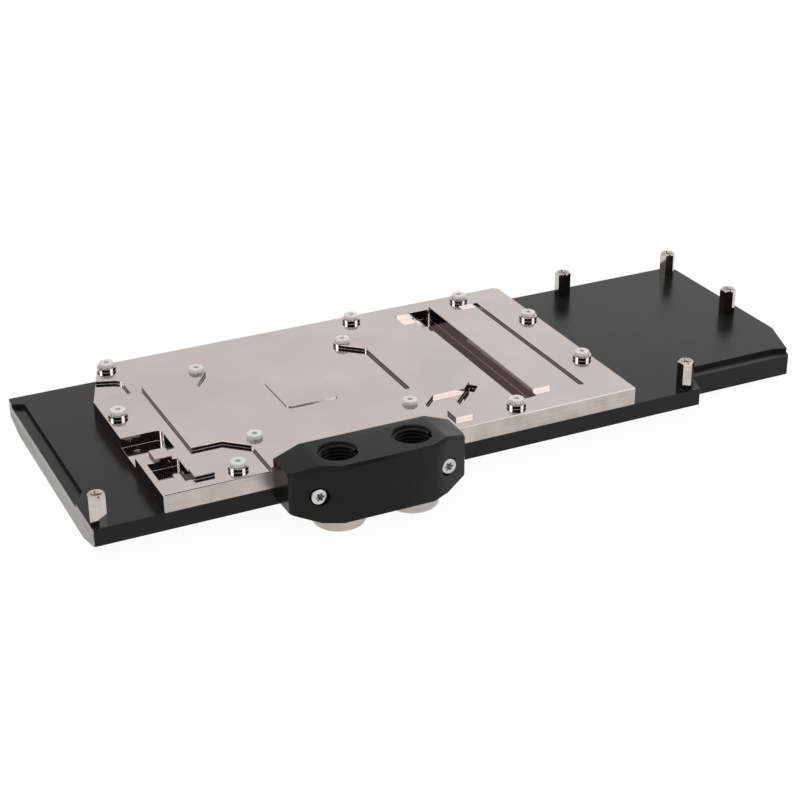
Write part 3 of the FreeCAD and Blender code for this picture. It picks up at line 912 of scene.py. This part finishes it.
@dataclass
class Finishes:
    """All finishes of the part, made once."""

    outline: PlateOutline
    cover_left: float
    made: Materials = field(default_factory=dict)

    def build(self) -> None:
        """Makes every material."""
        terminal = BlackAcetal(roughness=0.2, side_roughness=0.22, specular=0.15)
        thread = BlackAcetal(roughness=0.22, side_roughness=0.22, specular=0.16)
        self.made = {
            "nickel": MilledNickel().build("milled_nickel", self.outline),
            # The cover's left end gets a painted highlight.
            "cover": BlackAcetal(glare_end_left=self.cover_left).build("black_cover"),
            "terminal": terminal.build("black_terminal"),
            "thread": thread.build("black_thread"),
            "turned": TurnedMetal(roughness=0.1).build("turned_nickel"),
            "plug": TurnedMetal(base=(0.5, 0.47, 0.43, 1.0), roughness=0.34).build("plug_nickel"),
            "steel": TurnedMetal(base=(0.7, 0.7, 0.69, 1.0), roughness=0.2).build("bright_steel"),
            "rubber": SealRubber().build("seal_rubber"),
            "washer": MilkyPlastic().build("milky_plastic"),
        }


@dataclass
class Plates:
    """The cold plate and the cover plate, as packed, with their inner pieces."""

    def build(self, made: Materials) -> None:
        """Dresses the plates and what is between them.

        Args:
            made: The finishes.
        """
        plate = smooth_copy("cold_plate", "milled_cold_plate")
        dress(plate, made["nickel"])
        finish_piece(plate, Slot.NICKEL_PLATE, "cold_plate")
        cover = smooth_copy("cover_plate", "machined_cover_plate")
        dress(cover, made["cover"])
        finish_piece(cover, Slot.COVER, "cover_plate")
        for node, key in (("main_seal", "rubber"), ("jet_plate", "steel"), ("cover_screws", "steel")):
            dress(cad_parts[node], made[key])


@dataclass
class CapScrew:
    """A round headed screw with a six-lobed drive."""

    head_radius: float = 2.8 * MM
    head_height: float = 3.0 * MM
    rim_round: float = 0.45 * MM
    shank_radius: float = 1.45 * MM
    core_radius: float = 1.1 * MM
    lobe_radius: float = 0.44 * MM
    lobe_reach: float = 1.2 * MM
    drive_depth: float = 2.2 * MM
    drive_past: float = 0.4 * MM
    lobes: int = 6
    head_sides: int = 48
    shank_sides: int = 32
    core_sides: int = 24
    lobe_sides: int = 16
    rim_segments: int = 5

    def drive(self) -> Piece:
        """Models the lobed tool that leaves the drive.

        Returns:
            The tool.
        """
        tool = upright_bar(self.core_sides, self.core_radius, self.drive_past, -self.drive_depth)
        for lobe in range(self.lobes):
            turn = math.tau * lobe / self.lobes
            aside = (self.lobe_reach * math.cos(turn), self.lobe_reach * math.sin(turn))
            bar = upright_bar(self.lobe_sides, self.lobe_radius, self.drive_past, -self.drive_depth, aside)
            cut_with(tool, bar, Turned.JOIN)
        return tool

    def upright(self, length: float) -> Piece:
        """Models the screw upright, with its head's top on the origin.

        Args:
            length: From the head's top to the shank's end.

        Returns:
            The screw.
        """
        half = -self.head_height / 2
        screw = upright_bar(self.head_sides, self.head_radius, 0.0, -self.head_height)
        bevel_edges(
            screw, lambda edge: all(v.co.z > half for v in edge.verts), self.rim_round, self.rim_segments
        )
        cut_with(screw, upright_bar(self.shank_sides, self.shank_radius, half, -length), Turned.JOIN)
        cut_with(screw, self.drive(), Turned.CUT)
        return screw


@dataclass
class Terminal:
    """The terminal block with its screws, plugs, seals and port threads."""

    thread: Thread = Thread(pitch=1.337 * MM, outer=6.61 * MM, inner=5.8 * MM, turns=6, steps=64)
    mouth_drop: float = 0.75 * MM
    screw: CapScrew = field(default_factory=CapScrew)

    def add_screw(self, side: Side, made: Materials) -> None:
        """Stands one screw in its hole, its head towards the front.

        Args:
            side: Which screw.
            made: The finishes.
        """
        node = "terminal_screw_" + side.value
        low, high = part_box(node)
        screw = self.screw.upright(high.y - low.y)
        at = middle(node)
        lie_down = Matrix.Rotation(math.radians(90.0), 4, "X")
        screw.data.transform(Matrix.Translation((at.x, low.y, at.z)) @ lie_down)
        screw.name = "terminal_cap_screw_" + side.value
        smooth(screw)
        dress(screw, made["steel"])
        finish_piece(screw, Slot.STEEL, node)

    def build(self, made: Materials) -> None:
        """Dresses the block and adds its screws, plugs and port threads.

        Args:
            made: The finishes.
        """
        block = smooth_copy("terminal_block", "machined_terminal_block")
        dress(block, made["terminal"])
        finish_piece(block, Slot.TERMINAL, "terminal_block")
        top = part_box("terminal_block")[1].z - self.mouth_drop
        for side in Side:
            axis = middle("port_plug_" + side.value)
            ridge = self.thread.ridge("port_thread_" + side.value, (axis.x, axis.y, top))
            dress(ridge, made["thread"])
            finish_piece(ridge, Slot.TERMINAL)
            self.add_screw(side, made)
            plug = smooth_copy("port_plug_" + side.value, "turned_port_plug_" + side.value)
            dress(plug, made["plug"])
            finish_piece(plug, Slot.NICKEL_PART, "port_plug_" + side.value)
            for node in ("terminal_seal_", "plug_seal_"):
                dress(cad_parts[node + side.value], made["rubber"])


@dataclass
class Standoffs:
    """The five hexagon standoffs on the cover plate."""

    across_flats: float = 5.5 * MM
    height: float = 10.0 * MM
    edge_round: float = 0.12 * MM
    top_chamfer: float = 0.7 * MM
    hole_radius: float = 1.25 * MM
    mouth_radius: float = 1.9 * MM
    hole_depth: float = 7.0 * MM
    sides: int = 6
    bar_past: float = 1.0 * MM
    drill_past: float = 0.5 * MM
    bar_sides: int = 64
    hole_sides: int = 40
    edge_segments: int = 3
    sharp_from: float = 25.0
    flat_turn: float = 30.0
    thread: Thread = Thread(pitch=0.5 * MM, outer=1.3 * MM, inner=1.05 * MM, turns=8, steps=32)
    turns: dict[str, float] = field(
        default_factory=lambda: {
            "front_left": 20.0,
            "back_middle": 29.0,
            "back_right": 45.0,
            "right": 35.0,
            "front_right": 41.5,
        }
    )

    def post(self) -> Piece:
        """Models one standoff on the origin, foot down.

        Returns:
            The standoff.
        """
        corner = self.across_flats / math.sqrt(3)
        post = upright_bar(self.sides, corner, self.height, 0.0)
        long_edge = self.height / 2
        bevel_edges(
            post,
            lambda edge: abs(edge.verts[0].co.z - edge.verts[1].co.z) > long_edge,
            self.edge_round,
            self.edge_segments,
        )
        cut_with(post, self.turned_bar(corner), Turned.KEEP)
        cut_with(post, self.drill(), Turned.CUT)
        smooth(post, self.sharp_from)
        join(post, self.thread.ridge("thread", (0.0, 0.0, self.height - self.sink())))
        return post

    def sink(self) -> float:
        """How deep the hole's mouth is countersunk."""
        return self.mouth_radius - self.hole_radius

    def turned_bar(self, corner: float) -> Piece:
        """Models a round bar with a chamfered top, which leaves the standoff's turned corners.

        Args:
            corner: The standoff's radius over its corners.

        Returns:
            The bar.
        """
        bar = upright_bar(self.bar_sides, corner + self.bar_past, self.height, -self.bar_past)
        upper = self.height / 2
        chamfer = self.bar_past + self.top_chamfer
        bevel_edges(bar, lambda edge: all(v.co.z > upper for v in edge.verts), chamfer, 1)
        return bar

    def drill(self) -> Piece:
        """Models the drill that leaves the screw hole, with its countersunk mouth.

        Returns:
            The drill.
        """
        top = self.height + self.drill_past
        mouth = self.height - self.sink()
        drill = upright_bar(self.hole_sides, self.hole_radius, top, self.height - self.hole_depth)
        nothing_selected()
        bpy.ops.mesh.primitive_cone_add(
            vertices=self.hole_sides,
            radius1=self.hole_radius,
            radius2=self.mouth_radius + self.drill_past,
            depth=top - mouth,
            location=(0, 0, (top + mouth) / 2),
        )
        cone = bpy.context.object
        into_mesh(cone)
        cut_with(drill, cone, Turned.JOIN)
        return drill

    def build(self, made: Materials) -> None:
        """Models one standoff and copies it to each place.

        Args:
            made: The finishes.
        """
        post = self.post()
        dress(post, made["turned"])
        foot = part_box("cover_plate")[1].z
        places = []
        for name, turn in self.turns.items():
            at = middle("standoff_" + name)
            turned = Matrix.Rotation(math.radians(turn + self.flat_turn), 4, "Z")
            places.append(Matrix.Translation((at.x, at.y, foot)) @ turned)
        names = ["hexagon_standoff_" + name for name in self.turns]
        for twin, name in zip(copies(post, names, places), self.turns):
            finish_piece(twin, Slot.NICKEL_PART, "standoff_" + name)


@dataclass
class Washers:
    """The soft washers on the screw bosses."""

    radius: float = 2.75 * MM
    hole: float = 0.95 * MM
    thickness: float = 1.6 * MM
    outer_round: float = 0.4 * MM
    inner_round: float = 0.12 * MM
    round_segments: int = 4
    steps: int = 48
    sharp_from: float = 40.0

    def ring(self) -> Piece:
        """Models one washer by turning its rounded section about the upright axis.

        Returns:
            The washer, its foot on the origin.
        """
        foot = ((self.hole, 0, 0), (self.radius, 0, 0))
        top = ((self.hole, 0, self.thickness), (self.radius, 0, self.thickness))
        ring = section(foot + top)
        bpy.ops.object.mode_set(mode="EDIT")
        bpy.ops.mesh.select_mode(type="VERT")
        for reach, rounding in ((self.hole, self.inner_round), (self.radius, self.outer_round)):
            mesh = bmesh.from_edit_mesh(ring.data)
            for vertex in mesh.verts:
                vertex.select = vertex.co.z > self.thickness / 2 and abs(vertex.co.x - reach) < WELD
            mesh.select_flush_mode()
            bmesh.update_edit_mesh(ring.data)
            bpy.ops.mesh.bevel(offset=rounding, segments=self.round_segments, affect="VERTICES")
        bpy.ops.mesh.select_all(action="SELECT")
        bpy.ops.mesh.spin(steps=self.steps, angle=math.tau, center=(0, 0, 0), axis=(0, 0, 1))
        bpy.ops.mesh.select_all(action="SELECT")
        bpy.ops.mesh.remove_doubles(threshold=WELD)
        bpy.ops.mesh.delete_loose()
        self.drop_inner_faces(ring)
        bpy.ops.mesh.select_all(action="SELECT")
        bpy.ops.mesh.normals_make_consistent(inside=False)
        bpy.ops.object.mode_set(mode="OBJECT")
        return ring

    @staticmethod
    def drop_inner_faces(ring: Piece) -> None:
        """Deletes the section faces that the turning left inside, the only ones with over four corners.

        Args:
            ring: The washer, in edit mode.
        """
        mesh = bmesh.from_edit_mesh(ring.data)
        inner = [f for f in mesh.faces if len(f.verts) > 4]
        bmesh.ops.delete(mesh, geom=inner, context="FACES_ONLY")
        bmesh.update_edit_mesh(ring.data)

    def build(self, made: Materials) -> None:
        """Models one washer and copies it to each boss.

        Args:
            made: The finishes.
        """
        ring = self.ring()
        smooth(ring, self.sharp_from)
        dress(ring, made["washer"])
        nodes = sorted(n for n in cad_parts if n.startswith("washer_"))
        places = []
        for node in nodes:
            at = middle(node)
            places.append(Matrix.Translation((at.x, at.y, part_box(node)[0].z)))
        for twin, node in zip(copies(ring, ["soft_" + node for node in nodes], places), nodes):
            finish_piece(twin, Slot.WASHER, node)


def plate_outline() -> PlateOutline:
    """Reads the cold plate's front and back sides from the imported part."""
    low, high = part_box("cold_plate")
    return PlateOutline(front=low.y + SIDE_SKIN, back=high.y - SIDE_SKIN)


def main() -> None:
    """Builds the studio and every sub-assembly."""
    logging.basicConfig(level=logging.INFO, format="%(name)s: %(message)s")
    cad_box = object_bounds()
    Studio().build(cad_box[0].z)
    finishes = Finishes(plate_outline(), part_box("cover_plate")[0].x + END_GLARE_SKIN)
    finishes.build()
    for assembly in (Plates(), Terminal(), Standoffs(), Washers()):
        assembly.build(finishes.made)
    bpy.context.scene.view_settings.view_transform = "Standard"
    bpy.context.view_layer.update()


if __name__ == "__main__":
    main()
